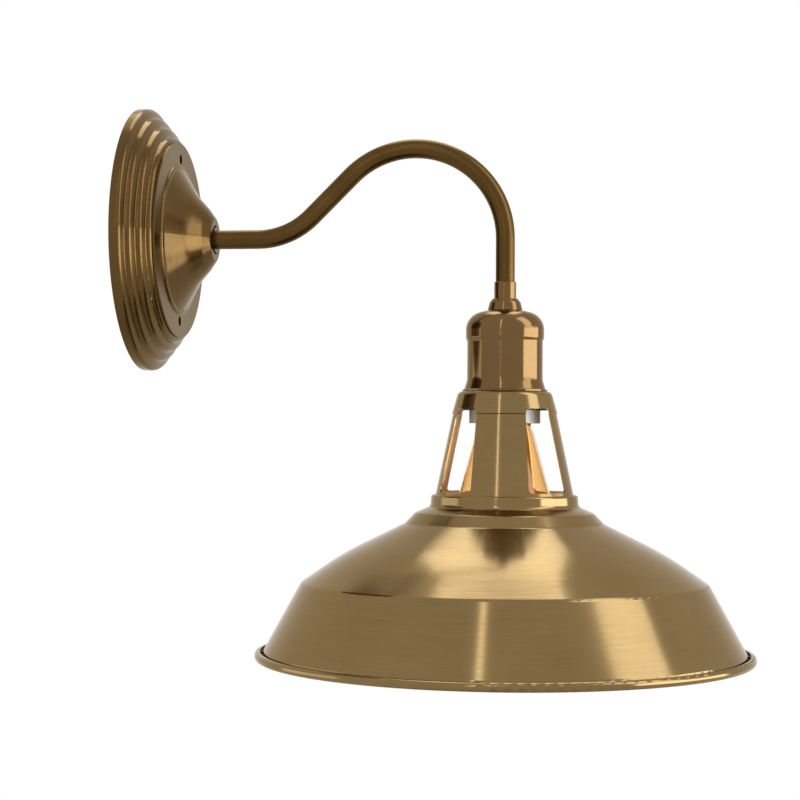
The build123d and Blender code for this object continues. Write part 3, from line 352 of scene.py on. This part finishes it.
# the spring under the contact is fixed at its top, and the contact pushes its lower end up
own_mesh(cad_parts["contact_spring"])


# ------------------------------------------------------------------ studio
def background_rays(nodes, links):
    """1 for the rays that show the background: the camera's, and those off metal and through glass."""
    path = add(nodes, "ShaderNodeLightPath")
    direct = add(nodes, "ShaderNodeMath", operation="MAXIMUM")
    links.new(path.outputs["Is Camera Ray"], direct.inputs[0])
    links.new(path.outputs["Is Glossy Ray"], direct.inputs[1])
    every = add(nodes, "ShaderNodeMath", operation="MAXIMUM")
    links.new(direct.outputs[0], every.inputs[0])
    links.new(path.outputs["Is Transmission Ray"], every.inputs[1])
    return every.outputs[0]


def white_floor():
    """A pale floor below the light: it keeps the shadow, and runs out to white in the distance."""
    bpy.ops.object.select_all(action="DESELECT")
    bpy.ops.mesh.primitive_plane_add(size=FLOOR_SIZE, location=(0, 0, 0))
    floor = bpy.context.object
    floor.name = "studio_floor"
    floor.data.transform(Matrix.Translation((REACH, 0, FLOOR_HEIGHT)))
    material, nodes, links, shader = new_material("floor_white")
    shader.inputs["Base Color"].default_value = colour(236, 236, 236)
    shader.inputs["Roughness"].default_value = 0.9
    place = add(nodes, "ShaderNodeTexCoord")
    centred = add(nodes, "ShaderNodeVectorMath", operation="DISTANCE")
    centred.inputs[1].default_value = (REACH, 0, FLOOR_HEIGHT)
    links.new(place.outputs["Object"], centred.inputs[0])
    far = add(nodes, "ShaderNodeMapRange", interpolation_type="SMOOTHSTEP")
    far.inputs["From Min"].default_value = FLOOR_SHADED
    far.inputs["From Max"].default_value = FLOOR_WHITE
    links.new(centred.outputs["Value"], far.inputs["Value"])
    seen = add(nodes, "ShaderNodeMath", operation="MULTIPLY")
    links.new(background_rays(nodes, links), seen.inputs[0])
    links.new(far.outputs[0], seen.inputs[1])
    white = add(nodes, "ShaderNodeEmission", Strength=1.0)
    white.inputs["Color"].default_value = (1, 1, 1, 1)
    mix = add(nodes, "ShaderNodeMixShader")
    links.new(seen.outputs[0], mix.inputs[0])
    links.new(shader.outputs[0], mix.inputs[1])
    links.new(white.outputs[0], mix.inputs[2])
    links.new(mix.outputs[0], nodes["Material Output"].inputs["Surface"])
    floor.data.materials.append(material)


WORLD_LEVEL = 0.4  # the world's soft light on the object


def white_world():
    """White behind the light, in the metal and through the glass; a plain soft level on the rest."""
    world = bpy.data.worlds.new("studio")
    bpy.context.scene.world = world
    world.use_nodes = True
    nodes, links = world.node_tree.nodes, world.node_tree.links
    links.new(
        between(nodes, links, background_rays(nodes, links), WORLD_LEVEL, 1.0),
        nodes["Background"].inputs["Strength"],
    )
    nodes["Background"].inputs["Color"].default_value = (1, 1, 1, 1)


# soft lamps: name, azimuth from the near side towards the light's outer side, height, both in
# degrees, then width and height in metres, and watts
LAMPS = [
    ("outer_lamp", 90, -3, 1.7, 0.8, 21.0),
    ("outer_high_lamp", 79, 38, 0.7, 1.5, 11.0),
    ("narrow_lamp", -9, 32, 0.07, 1.5, 1.4),
    ("wall_lamp", -91, -3, 1.1, 0.8, 3.5),
    ("overhead_lamp", -172, 62, 0.9, 0.9, 10.0),
]
LAMP_DISTANCE = 1.6
LAMP_WHITE = (0.9, 0.98, 1.1)  # a slightly cool white
LAMPS_LOOK_AT = Vector((REACH, 0, -0.1))


def soft_lamp(name, azimuth, rise, width, height, watts):
    """A flat rectangular lamp that looks at the shade's neck."""
    around, up = math.radians(azimuth), math.radians(rise)
    direction = Vector((math.sin(around) * math.cos(up), -math.cos(around) * math.cos(up), math.sin(up)))
    light = bpy.data.lights.new(name, "AREA")
    light.shape = "RECTANGLE"
    light.size = width
    light.size_y = height
    light.energy = watts
    light.color = LAMP_WHITE
    holder = bpy.data.objects.new(name, light)
    holder.matrix_world = (
        Matrix.Translation(LAMPS_LOOK_AT + direction * LAMP_DISTANCE)
        @ direction.to_track_quat("Z", "Y").to_matrix().to_4x4()
    )
    holder.visible_camera = False
    bpy.context.scene.collection.objects.link(holder)


def camera_of_the_photo():
    """The camera that took the photograph."""
    camera = bpy.data.cameras.new("photo_camera")
    camera.sensor_fit = "HORIZONTAL"
    camera.sensor_width = 36.0
    camera.lens = LENS
    camera.clip_start = 0.01
    ahead = (Vector(CAMERA_LOOKS_AT) - Vector(CAMERA_AT)).normalized()
    right = ahead.cross(Vector((0, 0, 1))).normalized()
    up = right.cross(ahead)
    tilted = right * math.cos(CAMERA_ROLL) + up * math.sin(CAMERA_ROLL)
    upright = tilted.cross(ahead)
    turn = Matrix((tilted, upright, -ahead)).transposed()
    holder = bpy.data.objects.new("photo_camera", camera)
    holder.matrix_world = Matrix.Translation(CAMERA_AT) @ turn.to_4x4()
    bpy.context.scene.collection.objects.link(holder)
    bpy.context.scene.camera = holder


white_floor()
white_world()
for lamp in LAMPS:
    soft_lamp(*lamp)
camera_of_the_photo()
bpy.context.scene.view_settings.view_transform = "Standard"
